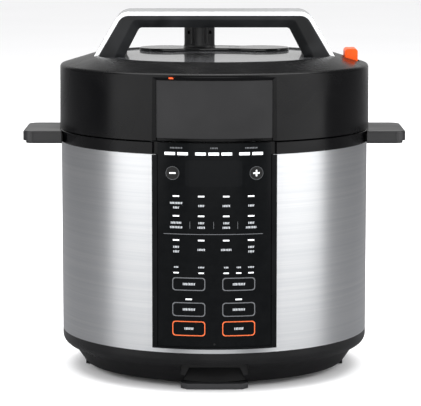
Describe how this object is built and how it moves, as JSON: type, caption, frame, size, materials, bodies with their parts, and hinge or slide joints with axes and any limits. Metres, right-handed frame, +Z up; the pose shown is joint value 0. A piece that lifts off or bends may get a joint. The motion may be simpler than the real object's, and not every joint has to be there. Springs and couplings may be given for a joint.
{
  "type": "electric pressure cooker",
  "caption": "Electric pressure cooker: brushed steel drum, black bayonet lid with bridge handle, steam valve, release lever, touch panel and lift-out pot.",
  "frame": {"origin": "on the worktop, under the axis of the cooking pot", "axes": "+Z up, -Y towards the control panel at the front, +X to the right seen from the front, along the side handles"},
  "size_m": [0.334, 0.2992, 0.3146],
  "materials": {
    "black_housing": "fine moulded texture",
    "lid_black": "satin moulded, near black",
    "grey_foot": "moulded, dark grey",
    "foot_rubber": "soft black",
    "steel_wrap": "brushed round the body",
    "bezel": "satin dark grey",
    "touch_glass": "gloss black overlay",
    "carrier": "moulded",
    "circuit_board": "solder mask",
    "led_lens": "clear lens",
    "display_black": "black filter",
    "aluminium_sheet": "pressed sheet",
    "steel_sheet": "stamped sheet",
    "cast_aluminium": "cast and turned",
    "element_sheath": "heat darkened tube",
    "spring_steel": "plain wire",
    "screw_steel": "zinc plated",
    "phenolic": "moulded",
    "fuse_sleeve": "glass-fibre sleeve",
    "wire_insulation": "silicone jacket",
    "ribbon": "flat flexible cable",
    "components": "moulded cases",
    "clear_cup": "translucent",
    "pot_steel": "satin inside and out",
    "silicone": "translucent silicone",
    "top_disc": "silver grey lacquer, gloss",
    "badge": "dark grey metallic lacquer",
    "mark_orange": "printed orange",
    "handle_black": "fine moulded texture",
    "trim_silver": "bright silver lacquer",
    "lever_orange": "moulded orange"
  },
  "bodies": {
    "base": {"base_housing": "black_housing", "base_cover": "black_housing", "base_screws": "screw_steel", "front_foot": "grey_foot", "foot_pads": "foot_rubber", "steel_wrap": "steel_wrap", "upper_collar": "lid_black", "side_handle_left": "handle_black", "side_handle_right": "handle_black", "side_handle_screws": "screw_steel", "panel_bezel": "bezel", "touch_panel": "touch_glass", "panel_carrier": "carrier", "control_board": "circuit_board", "indicator_leds": "led_lens", "display_module": "display_black", "outer_pot": "aluminium_sheet", "locking_ring": "steel_sheet", "collar_screws": "screw_steel", "pot_support": "aluminium_sheet", "heating_plate": "cast_aluminium", "heating_element": "element_sheath", "sensor_bracket": "steel_sheet", "sensor_spring": "spring_steel", "pressure_switch": "phenolic", "thermal_fuse": "fuse_sleeve", "power_board": "circuit_board", "power_parts": "components", "power_inlet": "phenolic", "inlet_frame": "black_housing", "wiring": "wire_insulation", "ribbon_cable": "ribbon", "cup_holder": "black_housing"},
    "sensor": {"temperature_sensor": "cast_aluminium"},
    "cup": {"condensate_cup": "clear_cup"},
    "pot": {"inner_pot": "pot_steel"},
    "seal": {"sealing_ring": "silicone"},
    "lid": {"lid_shell": "lid_black", "lid_tray": "black_housing", "tray_screws": "screw_steel", "lid_top_disc": "top_disc", "badge_plate": "badge", "lock_mark": "mark_orange", "lid_handle": "handle_black", "handle_trim": "trim_silver", "handle_screws": "screw_steel", "inner_lid": "pot_steel", "lid_nuts": "screw_steel", "seal_rack": "steel_sheet", "anti_block_cap": "pot_steel", "steam_pipe": "steel_sheet", "valve_plate": "handle_black", "lever_pin": "screw_steel"},
    "lever": {"release_lever": "lever_orange"},
    "rod": {"push_rod": "phenolic"},
    "steam_valve": {"steam_valve": "handle_black", "valve_lifter": "phenolic"},
    "float": {"float_valve": "steel_sheet", "float_cap": "silicone"}
  },
  "joints": [
    {"name": "pot_lift", "type": "slide", "parent": "base", "child": "pot", "axis": [0, 0, 1], "range_m": [0, 0.18]},
    {"name": "lid_lift", "type": "slide", "parent": "pot", "child": "seal", "axis": [0, 0, 1], "range_m": [0, 0.2]},
    {"name": "lid_turn", "type": "hinge", "parent": "seal", "child": "lid", "pos_m": [0, 0, 0.2124], "axis": [0, 0, 1], "range_deg": [0, 30]},
    {"name": "lever_rock", "type": "hinge", "parent": "lid", "child": "lever", "pos_m": [0.118, 0, 0.2629], "axis": [0, 1, 0], "range_deg": [0, 8.97]},
    {"name": "rod_slide", "type": "slide", "parent": "lid", "child": "rod", "axis": [-0.8934, 0.4492, 0], "range_m": [0, 0.0032]},
    {"name": "valve_lift", "type": "slide", "parent": "lid", "child": "steam_valve", "axis": [0, 0, 1], "range_m": [0, 0.0032]},
    {"name": "float_rise", "type": "slide", "parent": "lid", "child": "float", "axis": [0, 0, 1], "range_m": [0, 0.004]},
    {"name": "cup_slide", "type": "slide", "parent": "base", "child": "cup", "axis": [0, 1, 0], "range_m": [0, 0.04]},
    {"name": "sensor_press", "type": "slide", "parent": "base", "child": "sensor", "axis": [0, 0, 1], "range_m": [-0.003, 0], "stiffness_N_per_m": 600, "springref_m": 0.002, "deforming": ["sensor_spring"]}
  ],
  "couplings": [
    {"joint": "rod_slide", "follows": "lever_rock", "m_per_rad": 0.0198},
    {"joint": "valve_lift", "follows": "lever_rock", "m_per_rad": 0.0198}
  ]
}
